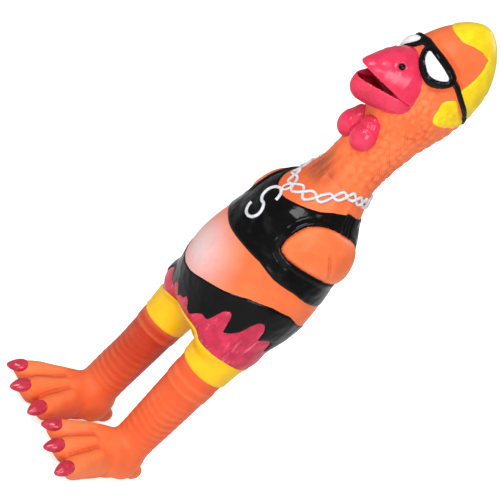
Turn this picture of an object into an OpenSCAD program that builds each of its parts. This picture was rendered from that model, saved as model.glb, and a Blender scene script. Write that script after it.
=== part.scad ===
// Rubber chicken squeeze toy: a hollow latex skin with moulded clothes, standing on its feet,
// and a reed sounder in its throat. Millimetres, +Z up, beak towards -Y, its left side towards +X,
// origin on the floor under its middle.

/* [Heights] */
// Rise of the crown above the brow
crown_rise = 45; // [41:1:50]
// Brow, where the skull starts to close
brow_z = 390; // [387:1:394]
// Cheek, at the mouth
cheek_z = 366; // [363:1:368]
// Throat
throat_z = 332; // [328:1:336]
// Narrowest part of the neck
neck_z = 296; // [293:1:299]
// Foot of the neck
collar_z = 271; // [269:1:273]
// Shoulders
shoulder_z = 252; // [249:1:255]
// Chest
chest_z = 229; // [226:1:232]
// Fullest part of the belly
belly_z = 186; // [182:1:190]
// Hips
hip_z = 148; // [145:1:152]
// Underside of the body, between the legs
crotch_z = 131; // [129:1:133]

/* [Widths] */
// Width at the crotch
crotch_width = 97; // [95:1:102]
// Width at the hips
hip_width = 98; // [94:1:104]
// Width at the belly
belly_width = 102; // [96:1:108]
// Width at the chest
chest_width = 90; // [84:1:96]
// Width at the shoulders
shoulder_width = 79; // [74:1:84]
// Width at the foot of the neck
collar_width = 56; // [52:1:60]
// Width of the neck
neck_width = 43.6; // [42:0.2:46]
// Width of the throat
throat_width = 47; // [45:0.5:50]
// Width of the cheeks
cheek_width = 59; // [56:0.5:62]
// Width of the brow
brow_width = 59; // [56:0.5:62]

/* [Depths] */
// Depth at the crotch
crotch_depth = 68; // [64:1:72]
// Depth at the hips
hip_depth = 82; // [78:1:86]
// Depth at the belly
belly_depth = 101; // [96:1:106]
// Depth at the chest
chest_depth = 87.5; // [84:0.5:92]
// Depth at the shoulders
shoulder_depth = 78; // [74:1:82]
// Depth at the foot of the neck
collar_depth = 56; // [53:1:59]
// Depth of the neck
neck_depth = 44.5; // [43:0.5:47]
// Depth of the throat
throat_depth = 50.5; // [48:0.5:53]
// Depth of the head
head_depth = 68.5; // [65:0.5:72]
// Forward lean of the body
body_lean = 1; // [0:0.5:2]
// Forward lean of the head
head_lean = 3.5; // [2.5:0.5:4.5]

/* [Skin] */
// Thickness of the latex
wall = 2.6; // [2.2:0.1:3]
// Gap under raised details and around moving ones
gap = 0.3; // [0.25:0.05:0.4]
// Hairline between neighbouring lengths of skin
seam = 0.2; // [0.15:0.05:0.3]
// Thickness of flat raised details
relief = 1.2; // [0.8:0.1:1.6]

/* [Neck] */
// Height where the neck starts to flex
flex_z = 288; // [287:0.5:290]
// Length of each flexing sleeve
sleeve = 12; // [11:0.5:13]
// Height of the ring between the sleeves
neck_ring_h = 3; // [2.5:0.5:4]

/* [Clothes] */
// Hem of the tank top
hem_z = 211; // [208:1:214]
// Drop of that hem at the back
hem_drop = 5; // [2:1:7]
// Waist of the shorts in front
waist_front_z = 168; // [165:1:171]
// Waist of the shorts at the sides
waist_side_z = 195; // [192:1:198]
// Drop of the waist at the back
waist_drop = 8; // [4:1:10]
// Middle of the flames of the fringe in front
fringe_front_z = 148; // [145:1:150]
// Middle of the flames of the fringe at the sides
fringe_side_z = 168; // [165:1:170]
// Half height of the flames
flame = 7; // [4:1:8]
// Number of flames
flames = 10; // [8:2:10]
// Neckline in front
neckline_front_z = 254; // [252:1:256]
// Neckline at the straps
neckline_side_z = 275; // [273:1:277]
// Drop of the neckline at the back
neckline_drop = 8; // [4:1:10]
// Half the width of the belly panel, as an angle
panel_angle = 48; // [44:1:52]
// Gap around the belly panel
panel_gap = 1.8; // [1.6:0.1:2.2]

/* [Wings] */
// Height of the middle of a wing
wing_z = 246; // [244:1:248]
// Half the length of a wing
wing_half = 34; // [30:1:36]
// Half the height of a wing
wing_rise = 16; // [14:1:17]
// Bulge of a wing
wing_bulge = 5; // [3:0.5:7]

/* [Chain] */
// Height of the chain in front
chain_front_z = 263.5; // [262.5:0.5:265]
// Height of the chain at the back
chain_back_z = 283; // [281:0.5:283.5]
// Links round the neck
links = 22; // [18:2:26]
// Thickness of the strands
strand = 1.1; // [0.9:0.1:1.3]
// Height of the pendant's middle
pendant_z = 241; // [240:0.5:242]
// Radius of the pendant's curls
pendant_curl = 6; // [5:0.5:6.5]

/* [Head] */
// Rise of the front hairline above the brow
hairline_rise = 30; // [27:1:32]
// Drop of the hairline at the nape below the brow
nape_drop = 9; // [6:1:11]
// Half width of a lens
lens_half = 13; // [12:0.5:14]
// Half height of a lens
lens_rise = 6.6; // [6:0.2:7.2]
// Height of the lenses' middle above the brow
lens_lift = 8; // [7:0.5:9]
// Angle from the nose to the lenses' middle
lens_angle = 38; // [36.5:0.5:39.5]
// Tilt of the lenses
lens_tilt = -12; // [-14:1:-10]
// Drop of the temple arms' ends below the brow
temple_drop = 14; // [12:1:16]
// Angle from the nose to the temple arms' ends
temple_angle = 135; // [130:1:140]
// Width of the glasses' rim
rim = 3.6; // [3:0.2:4]
// Reach of the beak in front of the neck
beak_reach = 64; // [61:1:68]
// Half width of the beak where it joins the face
beak_half = 22; // [20:0.5:23]
// Mouth line at the cheeks
mouth_z = 365.5; // [364.5:0.5:366.5]
// Height of the upper beak at the face
upper_beak_h = 28; // [26.5:0.5:28]
// Depth of the lower beak at the face
lower_beak_h = 16; // [14:0.5:17]
// Opening of the mouth at the tip
mouth_open = 10; // [9:0.5:12]
// Half width of the beak near its tip
beak_tip_half = 2.5; // [2:0.1:3]
// Rise of the upper beak's edge towards the tip
upper_tip_rise = 5.5; // [4.5:0.5:6]
// Height of the upper beak at the tip
upper_tip_h = 12; // [11:0.5:13]
// Depth of the lower beak at the tip
lower_tip_h = 10; // [9:0.5:11]
// Diameter of a nostril
nostril_d = 4; // [3:0.5:5]
// Place of the nostrils, from the face to the tip
nostril_at = 0.47; // [0.4:0.01:0.5]
// Drop of a sideburn's middle below the brow
sideburn_drop = 16; // [15:0.5:17]
// Angle from the nose to a sideburn
sideburn_angle = 97; // [95:1:99]
// Half width of a sideburn
sideburn_half = 8.5; // [8:0.5:9.5]
// Half height of a sideburn
sideburn_rise = 9; // [8:0.5:9]
// Height of the wattles' middle
wattle_z = 326.5; // [326.5:0.5:328]
// Angle from the nose to a wattle
wattle_angle = 22; // [21.5:0.5:23]
// Half width of a wattle
wattle_width = 9; // [8:0.5:9]
// Half the height of a wattle
wattle_half = 10.5; // [9:0.5:11]
// Bulge of a wattle
wattle_bulge = 9; // [7:0.5:11]

/* [Legs] */
// Turn of the standing legs against the body
legs_turn = 9; // [0:1:12]
// Distance between the legs
leg_spread = 58; // [56:0.5:60]
// Forward shift of the legs
leg_lead = 3.5; // [1.5:0.5:4.5]
// Radius of the cuffs
cuff_r = 19.8; // [19.2:0.2:20.4]
// Height of the cuffs
cuff_h = 21; // [18:1:24]
// Length of the flexing sleeve at the hip
hip_sleeve = 26; // [24:1:28]
// Top radius of the leg
leg_r = 18.6; // [18:0.2:19]
// Radius at the ankle
ankle_r = 16; // [15:0.2:16.6]
// Height of the top of the foot
instep_z = 33; // [32:0.5:35]
// Length of the flexing sleeve at the ankle
ankle_sleeve = 22; // [20:1:24]

/* [Feet] */
// Reach of the middle toe
toe_reach = 70; // [67:1:73]
// Radius of a toe at its middle
toe_middle_r = 12.5; // [11.5:0.5:13.5]
// Spread of the toes
toe_spread = 19; // [18:0.5:22]
// Radius of a toe at its end
toe_r = 9; // [8.4:0.2:9.4]
// Reach of the hind toe
hind_reach = 30; // [28:1:32]
// Length of a claw
claw = 12; // [10:0.5:13]

/* [Sounder] */
// Radius of the sounder's barrel
barrel_r = 13.6; // [13:0.2:14]
// Radius of its flange
flange_r = 16.4; // [16:0.2:17]
// Height above its flange
sounder_h = 14; // [12:0.5:15]
// Diameter of the air vent in the mouth
vent_d = 2.4; // [2:0.2:2.6]

/* [Output] */
// Node to draw

/* [Hidden] */
$fn = 48;
columns = 40;
stations = [
    [crotch_z, crotch_width / 2, crotch_depth / 2, -body_lean, 2.6],
    [hip_z, hip_width / 2, hip_depth / 2, -body_lean, 2.3],
    [belly_z, belly_width / 2, belly_depth / 2, -body_lean, 2.1],
    [chest_z, chest_width / 2, chest_depth / 2, -body_lean, 2],
    [shoulder_z, shoulder_width / 2, shoulder_depth / 2, -body_lean, 2],
    [collar_z, collar_width / 2, collar_depth / 2, -(body_lean + head_lean) / 3, 2],
    [neck_z, neck_width / 2, neck_depth / 2, -head_lean, 2],
    [throat_z, throat_width / 2, throat_depth / 2, -head_lean, 2],
    [cheek_z, cheek_width / 2, head_depth / 2, -head_lean, 2],
    [brow_z, brow_width / 2, head_depth / 2, -head_lean, 2],
];
crown_z = brow_z + crown_rise;
hairline_z = brow_z + hairline_rise;
nape_z = brow_z - nape_drop;
lens_z = brow_z + lens_lift;
temple_z = brow_z - temple_drop;
sideburn_z = brow_z - sideburn_drop;
claw_tip_r = 1.6;
sole_cut = 2.5;
toe_end = toe_length(1) - claw - toe_r / 3;
outer_toe = leg_spread / 2 * cos(legs_turn) + leg_lead * sin(legs_turn)
    + toe_end * sin(toe_spread + legs_turn) + toe_r;
front_claw = leg_spread / 2 * sin(legs_turn) + leg_lead * cos(legs_turn)
    + (toe_length(0) - claw_tip_r) * cos(legs_turn) + claw_tip_r;
middle = [(belly_width / 2 - outer_toe) / 2, (front_claw - belly_depth / 2 + body_lean) / 2, 0];
ring_z = flex_z + sleeve;
upper_sleeve_z = ring_z + neck_ring_h;
head_z = upper_sleeve_z + sleeve;
band_gap = 2.5 * seam;
hip_top_z = crotch_z - cuff_h;
shin_top_z = hip_top_z - hip_sleeve;
ankle_top_z = instep_z + ankle_sleeve;
shelf_h = 7;
shelf_z = head_z + shelf_h;
flange_h = 2;
plate_h = 2;
cap_h = 2;
bore_r = barrel_r - 5;
seat_r = barrel_r - 3;
plug_r = seat_r - 0.1;
plug_z = flange_h + plate_h + 0.6;
reed_half = 2;
reed_length = 14;
reed_end = 8.5;
orange = "#f26a2e";
black = "#1b1b1d";
pink = "#dd3566";
yellow = "#ffd51c";
white = "#eeeef2";
silver = "#cfd3d8";
cream = "#e9e4d4";
brass = "#c9a24b";

// Curves: a smooth step, an angle between -180 and 180, and a smooth line through the stations
function ease(t) = let(c = min(1, max(0, t))) c * c * (3 - 2 * c);
function facing(a) = abs((a % 360 + 540) % 360 - 180);
function segment(z, i = 0) = i >= len(stations) - 2 || z < stations[i + 1][0] ? i : segment(z, i + 1);
function slope(i, k) =
    i == len(stations) - 1 ? 0 :
    let(b = max(0, i - 1))
    (stations[i + 1][k] - stations[b][k]) / (stations[i + 1][0] - stations[b][0]);
function along(z, k) =
    let(i = segment(z), h = stations[i + 1][0] - stations[i][0], t = (z - stations[i][0]) / h)
    (2 * t^3 - 3 * t^2 + 1) * stations[i][k] + (t^3 - 2 * t^2 + t) * h * slope(i, k)
    + (3 * t^2 - 2 * t^3) * stations[i + 1][k] + (t^3 - t^2) * h * slope(i + 1, k);

// The skin: a point at a height and an angle from the beak, and the same point moved off the surface
function skull(z) = pow(1 - pow(min(1, max(0, (z - brow_z) / (crown_z - brow_z))), 1.5), 0.6);
function part_of(v, power) = sign(v) * pow(abs(v), 2 / power);
function on_skin(z, a) =
    let(c = min(max(z, crotch_z), brow_z), power = along(c, 4))
    [along(c, 1) * skull(z) * part_of(sin(a), power),
        along(c, 3) - along(c, 2) * skull(z) * part_of(cos(a), power), z];
function outward(z, a) =
    let(round_it = on_skin(z, a + 1) - on_skin(z, a - 1),
        up_it = on_skin(min(z + 0.5, crown_z - 0.05), a) - on_skin(z - 0.5, a),
        n = cross(round_it, up_it))
    n / norm(n);
function skin(z, a, off = 0) = on_skin(z, a) + off * outward(z, a);
function degree(z) = let(c = min(z, brow_z)) (along(c, 1) + along(c, 2)) / 2 * skull(z) * PI / 180;
function face_y(x, z) =
    let(c = min(z, brow_z))
    along(c, 3) - along(c, 2) * skull(z) * sqrt(max(0, 1 - pow(x / (along(c, 1) * skull(z)), 2)));

// Edges of the clothes and the hair, as heights round the body
function hem_line(a) = hem_z - hem_drop * ease((facing(a) - 70) / 90);
function waist_line(a) =
    waist_front_z + (waist_side_z - waist_front_z) * ease(facing(a) / 85)
    - waist_drop * ease((facing(a) - 100) / 80);
function fringe_line(a) =
    fringe_front_z + (fringe_side_z - fringe_front_z) * ease((facing(a) - 20) / 60) - flame * cos(a * flames);
function neckline(a) =
    neckline_front_z + (neckline_side_z - neckline_front_z) * ease(facing(a) / 100)
    - neckline_drop * ease((facing(a) - 110) / 70);
function hairline(a) = nape_z + (hairline_z - nape_z) * (1 - ease((facing(a) - 75) / 45));
function chain_line(a) = chain_front_z + (chain_back_z - chain_front_z) * ease(facing(a) / 75);

// Rings of points joined into a closed solid
module loft(rings, start = undef, end = undef, closed = false) {
    n = len(rings[0]);
    m = len(rings);
    points = concat([for (r = rings) each r], is_undef(start) ? [] : [start], is_undef(end) ? [] : [end]);
    start_at = m * n;
    end_at = m * n + (is_undef(start) ? 0 : 1);
    strips = [for (k = [0 : closed ? m - 1 : m - 2], j = [0 : n - 1])
        let(a = k * n + j, b = (k + 1) % m * n + j, c = (k + 1) % m * n + (j + 1) % n, d = k * n + (j + 1) % n)
        each [[a, b, c], [a, c, d]]];
    bottom = closed ? [] : is_undef(start) ? [for (j = [1 : n - 2]) [0, j, j + 1]] :
        [for (j = [0 : n - 1]) [start_at, j, (j + 1) % n]];
    e = (m - 1) * n;
    top = closed ? [] : is_undef(end) ? [for (j = [1 : n - 2]) [e, e + j + 1, e + j]] :
        [for (j = [0 : n - 1]) [end_at, e + (j + 1) % n, e + j]];
    polyhedron(points, concat(strips, bottom, top));
}

function ring_at(line, off, dir = 1) =
    [for (j = [0 : columns - 1]) let(a = dir * 360 * j / columns) skin(line(a), a, off)];
function level(z) = function(a) z;
function blend(low, high, t) = function(a) low(a) + (high(a) - low(a)) * t;

// A length of the hollow skin between two edges
module sleeve_of_skin(low, high, rows) {
    lifted = function(a) low(a) + seam;
    outer = [for (k = [0 : rows]) ring_at(blend(lifted, high, k / rows), 0)];
    inner = [for (k = [rows : -1 : 0]) ring_at(blend(lifted, high, k / rows), -wall)];
    loft(concat(outer, inner), closed = true);
}

// A raised patch on the skin: an ellipse round a height and an angle, domed by the bulge
module patch(z, a, half_u, half_v, tilt, edge, bulge, n = 24) {
    function spot(k, f, off) =
        let(u = k * (half_u * cos(f) * cos(tilt) - half_v * sin(f) * sin(tilt)),
            v = k * (half_u * cos(f) * sin(tilt) + half_v * sin(f) * cos(tilt)))
        skin(z + v, a + u / degree(z), off);
    function hoop(k, off) = [for (j = [0 : n - 1]) spot(k, 360 * j / n, off)];
    under = [for (k = [0.35, 0.7, 1]) hoop(k, gap)];
    over = [for (k = [1, 0.85, 0.6, 0.3]) hoop(k, gap + edge + bulge * (1 - k * k))];
    loft(concat(under, over), start = spot(0, 0, gap), end = spot(0, 0, gap + edge + bulge));
}

// A strip laid on the skin along a list of [height, angle, lift]
module strip(path, half, low, high, closed = false) {
    m = len(path);
    function beside(i, side) =
        let(p = path[i],
            q = path[closed ? (i + 1) % m : min(i + 1, m - 1)],
            o = path[closed ? (i + m - 1) % m : max(i - 1, 0)],
            dir = [(q[1] - o[1]) * degree(p[0]), q[0] - o[0]],
            d = dir / norm(dir))
        [p[0] + side * half * d[0], p[1] - side * half * d[1] / degree(p[0])];
    function lift(i) = is_undef(path[i][2]) ? 0 : path[i][2];
    function corner(i, side, off) = let(p = beside(i, side)) skin(p[0], p[1], off + lift(i));
    rings = [for (i = [0 : m - 1])
        [corner(i, 1, high), corner(i, -1, high), corner(i, -1, low), corner(i, 1, low)]];
    loft(rings, closed = closed);
}

module on_body() translate(middle) children();
module on_leg(side) on_body() rotate([0, 0, legs_turn])
    translate([side * leg_spread / 2, -leg_lead, 0]) children();

// Torso
module collar() color(orange) on_body() sleeve_of_skin(function(a) neckline(a), level(flex_z), 4);

module tank_top() color(black) on_body() sleeve_of_skin(function(a) hem_line(a), function(a) neckline(a), 5);

module wing(side) color(orange) on_body() mirror([side < 0 ? 1 : 0, 0, 0])
    patch(wing_z, 90, wing_half, wing_rise, 0, 0.6, wing_bulge);

module chain() {
    steps = links * 4;
    swing = 2.4;
    lift = 0.75 * strand;
    color(silver) on_body()
        for (over = [1, -1])
            strip([for (i = [0 : steps - 1])
                let(a = 360 * i / steps, wave = a * links / 2)
                [chain_line(a) + over * swing * sin(wave), a, lift + over * lift * cos(wave)]],
                0.9 * strand, gap, gap + strand, closed = true);
}

module pendant() {
    r = pendant_curl;
    s = degree(pendant_z);
    upper = [for (f = [20 : 25 : 270]) [pendant_z + r + r * sin(f), r * cos(f) / s]];
    lower = [for (f = [65 : -25 : -160]) [pendant_z - r + r * sin(f), r * cos(f) / s]];
    color(silver) on_body() strip(concat(upper, lower), strand, gap, gap + strand);
}

module belly_band() {
    n = 28;
    rows = 2;
    first = panel_angle + panel_gap / degree(belly_z);
    function bearing(j) = first + (360 - 2 * first) * j / n;
    function at(k, j, inside) =
        let(a = bearing(j),
            low = waist_line(a) + band_gap,
            high = hem_line(a) - band_gap,
            z = low + (high - low) * k / rows)
        inside == 0 ? on_skin(z, a) :
        j == 0 || j == n ? on_skin(z, a) + [0, wall, 0] : skin(z, a, -wall);
    rings = [for (j = [n : -1 : 0])
        concat([for (k = [0 : rows]) at(k, j, 0)], [for (k = [rows : -1 : 0]) at(k, j, 1)])];
    color(orange) on_body() loft(rings);
}

module belly_panel() {
    n = 14;
    rows = 4;
    function at(k, j, back) =
        let(a = -panel_angle + 2 * panel_angle * j / n,
            low = waist_line(a) + panel_gap,
            high = hem_line(a) - panel_gap)
        on_skin(low + (high - low) * k / rows, a) + [0, back, 0];
    rings = [for (j = [n : -1 : 0])
        concat([for (k = [0 : rows]) at(k, j, 0)], [for (k = [rows : -1 : 0]) at(k, j, wall)])];
    color(orange) on_body() loft(rings);
}

module shorts() color(black) on_body() sleeve_of_skin(function(a) fringe_line(a), function(a) waist_line(a), 3);

module fringe() {
    rows = 3;
    high = function(a) fringe_line(a);
    outer = [for (k = [0 : rows]) ring_at(blend(level(crotch_z), high, k / rows), 0)];
    inner = [for (k = [rows : -1 : 0]) ring_at(blend(level(crotch_z + wall), high, k / rows), -wall)];
    color(pink) on_body() loft(concat(outer, inner));
}

// Neck
module lower_neck_sleeve() color(orange) on_body() sleeve_of_skin(level(flex_z), level(ring_z), 2);

module neck_ring() color(orange) on_body() sleeve_of_skin(level(ring_z), level(upper_sleeve_z), 1);

module upper_neck_sleeve() color(orange) on_body()
    sleeve_of_skin(level(upper_sleeve_z), level(head_z - gap), 2);

// Head
module face() {
    rows = 8;
    high = function(a) hairline(a);
    function bore(z) = [for (j = [0 : columns - 1]) let(a = 360 * j / columns)
        [(barrel_r + gap) * sin(a), -head_lean - (barrel_r + gap) * cos(a), z]];
    outer = [for (k = [0 : rows]) ring_at(blend(level(head_z), high, k / rows), 0)];
    inner = [for (k = [rows : -1 : 0]) ring_at(blend(level(shelf_z - 2 * gap), high, k / rows), -wall)];
    color(orange) on_body() difference() {
        loft(concat(outer, inner, [bore(shelf_z - gap), bore(head_z)]), closed = true);
        translate([0, 0, mouth_z - 1]) rotate([90, 0, 0]) cylinder(h = beak_reach, d = vent_d);
    }
}

module hair() {
    heights = [0, 0.3, 0.55, 0.75, 0.9, 0.97];
    last = len(heights) - 1;
    rise = function(t) function(a) hairline(a) + seam + (crown_z - hairline(a) - seam) * t;
    outer = [for (i = [last : -1 : 0]) ring_at(rise(heights[i]), 0, -1)];
    inner = [for (i = [0 : last - 1]) ring_at(rise(heights[i]), -wall, -1)];
    color(yellow) on_body()
        loft(concat(outer, inner), start = [0, -head_lean, crown_z], end = [0, -head_lean, crown_z - wall]);
}

module sideburn(side) color(yellow) on_body() mirror([side < 0 ? 1 : 0, 0, 0])
    patch(sideburn_z, sideburn_angle, sideburn_half, sideburn_rise, 0, relief, 0.4, n = 16);

module glasses() {
    high = gap + 1.6 * relief;
    function eye(f, more) =
        let(u = (lens_half + more) * cos(f), v = (lens_rise + more) * sin(f))
        [lens_z + v * cos(lens_tilt) + u * sin(lens_tilt),
            lens_angle + (u * cos(lens_tilt) - v * sin(lens_tilt)) / degree(lens_z)];
    corner = eye(25, rim / 2);
    bridge = eye(140, rim / 2);
    arm_end = [temple_z, temple_angle];
    color(black) on_body() {
        for (side = [0, 1])
            mirror([side, 0, 0]) {
                strip([for (f = [0 : 15 : 345]) eye(f, rim / 2)], rim / 2, gap, high, closed = true);
                strip([for (t = [0 : 0.1 : 1]) corner + (arm_end - corner) * t], rim / 2, gap, high);
            }
        strip([for (t = [1 : -0.25 : -1]) [bridge[0], bridge[1] * t]], rim / 2, gap, high);
    }
}

module lens(side) color(white) on_body() mirror([side < 0 ? 1 : 0, 0, 0])
    patch(lens_z, lens_angle, lens_half - gap, lens_rise - gap, lens_tilt, relief / 2, 0.6, n = 20);

module upper_beak() {
    n = 28;
    root_z = mouth_z + 1;
    function at(k, s, f) =
        let(half = beak_half * (1 - pow(s, 1.6)) + beak_tip_half * s,
            low = root_z + upper_tip_rise * s,
            high = root_z + upper_beak_h - (upper_beak_h - upper_tip_h) * pow(s, 1.3),
            x = k * half * cos(f),
            level_in = sin(f) > 0 ? 0.7 * pow(sin(f), 1.8) : -0.3 * pow(-sin(f), 0.4),
            z = low + (high - low) * (0.3 + k * level_in),
            base = face_y(x, z) - gap)
        [x, base + (-beak_reach - base) * s, z];
    function hoop(k, s) = [for (j = [0 : n - 1]) at(k, s, 360 * j / n)];
    rings = concat([for (k = [0.3, 0.65]) hoop(k, 0)],
        [for (s = [0, 0.12, 0.25, 0.4, 0.55, 0.7, 0.83, 0.93]) hoop(1, s)]);
    color(pink) on_body() difference() {
        loft(rings, start = [0, face_y(0, root_z + 9) - gap, root_z + 9], end = [0, -beak_reach, root_z + 9]);
        for (side = [0, 1])
            mirror([side, 0, 0]) translate(at(1, nostril_at, 38)) rotate([0, 50, 0])
                cylinder(h = 6, d = nostril_d, center = true);
    }
}

module lower_beak() {
    n = 28;
    root_z = mouth_z - 2;
    reach = beak_reach - 3;
    tip_drop = mouth_open - 8.5;
    function hoop(k, s) = [for (j = [0 : n - 1])
        let(f = 360 * j / n,
            half = (beak_half - 1.5) * (1 - pow(s, 1.8)) + beak_tip_half * s,
            high = root_z - tip_drop * s,
            low = high - lower_beak_h + (lower_beak_h - lower_tip_h) * pow(s, 1.5),
            x = k * half * cos(f),
            level_in = sin(f) > 0 ? 0.35 * pow(sin(f), 0.4) : 0.65 * sin(f),
            z = low + (high - low) * (0.65 + k * level_in),
            base = face_y(x, z) - 2 * gap)
        [x, base + (-reach - base) * s, z]];
    rings = concat([for (k = [0.3, 0.65]) hoop(k, 0)],
        [for (s = [0, 0.15, 0.3, 0.5, 0.7, 0.85, 0.95]) hoop(1, s)]);
    color(pink) on_body()
        loft(rings, start = [0, face_y(0, root_z - 5) - 2 * gap, root_z - 5], end = [0, -reach, root_z - 5]);
}

module wattle(side) color(pink) on_body() mirror([side < 0 ? 1 : 0, 0, 0])
    patch(wattle_z, wattle_angle, wattle_width, wattle_half, 0, 0.5, wattle_bulge, n = 16);

// Legs
module cuff(side) color(yellow) on_leg(side) difference() {
    translate([0, 0, hip_top_z]) cylinder(h = cuff_h, r = cuff_r);
    translate([0, 0, hip_top_z - 1]) cylinder(h = cuff_h + 2, r = leg_r - wall);
}

module leg_part(low_z, high_z) {
    function radius(z) = ankle_r + (leg_r - ankle_r) * (z - instep_z) / (hip_top_z - instep_z);
    translate([0, 0, low_z]) difference() {
        cylinder(h = high_z - low_z, r1 = radius(low_z), r2 = radius(high_z));
        translate([0, 0, -1])
            cylinder(h = high_z - low_z + 2, r1 = radius(low_z - 1) - wall, r2 = radius(high_z + 1) - wall);
    }
}

module hip_flex(side) color(orange) on_leg(side) leg_part(shin_top_z, hip_top_z);

module shin(side) color(orange) on_leg(side) leg_part(ankle_top_z, shin_top_z);

module ankle_flex(side) color(orange) on_leg(side) leg_part(instep_z, ankle_top_z);

// Feet
function toe_length(k) = k == 0 ? toe_reach : toe_reach - 3;
module toe_ball(d, r, more) translate([0, -d, r - sole_cut]) sphere(r = r + more, $fn = more < 0 ? 10 : 16);
module toe(k, more = 0) rotate([0, 0, k * toe_spread]) hull() {
    toe_ball(23, toe_middle_r + 1, more);
    toe_ball(40, toe_middle_r, more);
    toe_ball(toe_length(k) - claw - toe_r / 3, toe_r, more);
}

module instep(more) hull() {
    translate([0, 0, instep_z - 4]) cylinder(h = more < 0 ? 5 : 4, r = ankle_r + more, $fn = 32);
    toe_ball(13, toe_middle_r + 4, more);
    toe_ball(-4, toe_middle_r + 2, more);
}

module foot(side) color(orange) on_leg(side) difference() {
    union() {
        for (k = [-1, 0, 1])
            toe(k);
        instep(0);
        hull() {
            toe_ball(-8, 11, 0);
            toe_ball(7 - hind_reach, 7, 0);
        }
    }
    instep(-wall);
    translate([-100, -100, -50]) cube([200, 200, 50]);
}

module claws(side) color(pink) on_leg(side)
    for (k = [-1, 0, 1])
        difference() {
            rotate([0, 0, k * toe_spread]) hull() {
                translate([0, -toe_length(k) + claw, toe_r]) sphere(r = toe_r - 1, $fn = 16);
                translate([0, -toe_length(k) + claw_tip_r, toe_r - 2.4]) sphere(r = claw_tip_r, $fn = 12);
            }
            toe(k, gap);
        }

// Sounder
module at_throat(z) on_body() translate([0, -head_lean, z]) children();

module sounder_tube() color(cream) at_throat(shelf_z) difference() {
    union() {
        translate([0, 0, gap - shelf_h]) cylinder(h = shelf_h - gap, r = barrel_r);
        cylinder(h = flange_h, r = flange_r);
        translate([0, 0, flange_h]) cylinder(h = sounder_h - flange_h, r = barrel_r - 1);
    }
    translate([0, 0, -shelf_h]) cylinder(h = shelf_h + sounder_h, r = bore_r);
    translate([0, 0, flange_h]) cylinder(h = sounder_h, r = seat_r);
}

module reed_plate() color(cream) at_throat(shelf_z + flange_h) difference() {
    cylinder(h = plate_h, r = plug_r);
    translate([-reed_half - 0.6, -6, -1]) cube([2 * reed_half + 1.2, 12, plate_h + 2]);
}

module reed() color(brass) at_throat(shelf_z + flange_h + plate_h)
    translate([-reed_half, reed_end - reed_length, 0.05]) cube([2 * reed_half, reed_length, 0.3]);

module sounder_cap() color(cream) at_throat(shelf_z) difference() {
    union() {
        translate([0, 0, sounder_h]) cylinder(h = cap_h, r = barrel_r - 1);
        translate([0, 0, plug_z]) cylinder(h = sounder_h - plug_z, r = plug_r);
    }
    translate([0, 0, plug_z - 1]) cylinder(h = sounder_h - plug_z + 1, r = plug_r - 1.5);
    for (k = [0 : 4])
        rotate([0, 0, 72 * k]) translate([bore_r / 2, 0, sounder_h - 1]) cylinder(h = cap_h + 2, d = 3);
}

collar();
tank_top();
wing(1);  // left_wing
wing(-1);  // right_wing
chain();
pendant();
belly_band();
belly_panel();
shorts();
fringe();
cuff(1);  // left_cuff
cuff(-1);  // right_cuff
lower_neck_sleeve();
neck_ring();
upper_neck_sleeve();
face();
hair();
sideburn(1);  // left_sideburn
sideburn(-1);  // right_sideburn
glasses();
lens(1);  // left_lens
lens(-1);  // right_lens
upper_beak();
lower_beak();
wattle(1);  // left_wattle
wattle(-1);  // right_wattle
hip_flex(1);  // left_hip_sleeve
hip_flex(-1);  // right_hip_sleeve
shin(1);  // left_shin
shin(-1);  // right_shin
ankle_flex(1);  // left_ankle_sleeve
ankle_flex(-1);  // right_ankle_sleeve
foot(1);  // left_foot
foot(-1);  // right_foot
claws(1);  // left_claws
claws(-1);  // right_claws
sounder_tube();
reed_plate();
reed();
sounder_cap();
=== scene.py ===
"""Rubber chicken squeeze toy, dressed over its CAD frame.

Metres, +Z up, beak towards -Y, the chicken's left side towards +X. Places on the body are
given as (angle, height): degrees from the beak, positive towards its left side, and
millimetres above the floor. Named lengths are in millimetres.
"""

import math

import bmesh
import bpy
import numpy as np
from mathutils import Matrix, Vector, noise
from mathutils.bvhtree import BVHTree


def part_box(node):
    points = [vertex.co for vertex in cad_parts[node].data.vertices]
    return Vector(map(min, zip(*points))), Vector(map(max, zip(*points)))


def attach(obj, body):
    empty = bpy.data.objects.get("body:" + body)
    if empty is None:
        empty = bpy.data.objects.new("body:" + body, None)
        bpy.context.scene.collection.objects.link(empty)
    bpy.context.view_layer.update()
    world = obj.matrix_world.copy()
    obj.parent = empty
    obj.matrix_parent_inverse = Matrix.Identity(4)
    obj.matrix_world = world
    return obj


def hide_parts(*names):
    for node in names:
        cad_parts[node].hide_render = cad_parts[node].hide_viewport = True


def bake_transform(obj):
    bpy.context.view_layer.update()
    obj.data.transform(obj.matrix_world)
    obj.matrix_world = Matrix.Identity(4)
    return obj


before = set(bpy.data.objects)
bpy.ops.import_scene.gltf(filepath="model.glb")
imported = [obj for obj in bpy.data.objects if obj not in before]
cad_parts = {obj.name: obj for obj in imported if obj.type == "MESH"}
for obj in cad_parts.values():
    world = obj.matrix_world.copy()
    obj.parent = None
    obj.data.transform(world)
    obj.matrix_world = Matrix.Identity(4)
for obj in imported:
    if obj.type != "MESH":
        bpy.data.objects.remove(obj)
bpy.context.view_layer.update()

MM = 0.001
SIDES = ("left", "right")
HEAD_LEAN = 3.5
LEGS_TURN = math.radians(9)


def box_middle(node):
    """The middle of a CAD node's box, in metres."""
    low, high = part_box(node)
    return [(a + b) / 2 for a, b in zip(low, high)]


# The body's upright axis, read from the neck ring, which leans forward with the head
AXIS_X = box_middle("neck_ring")[0]
AXIS_Y = box_middle("neck_ring")[1] + HEAD_LEAN * MM


# Tools

def clear():
    """Leaves edit mode and selects nothing."""
    if bpy.context.object and bpy.context.object.mode != "OBJECT":
        bpy.ops.object.mode_set(mode="OBJECT")
    bpy.ops.object.select_all(action="DESELECT")


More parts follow.
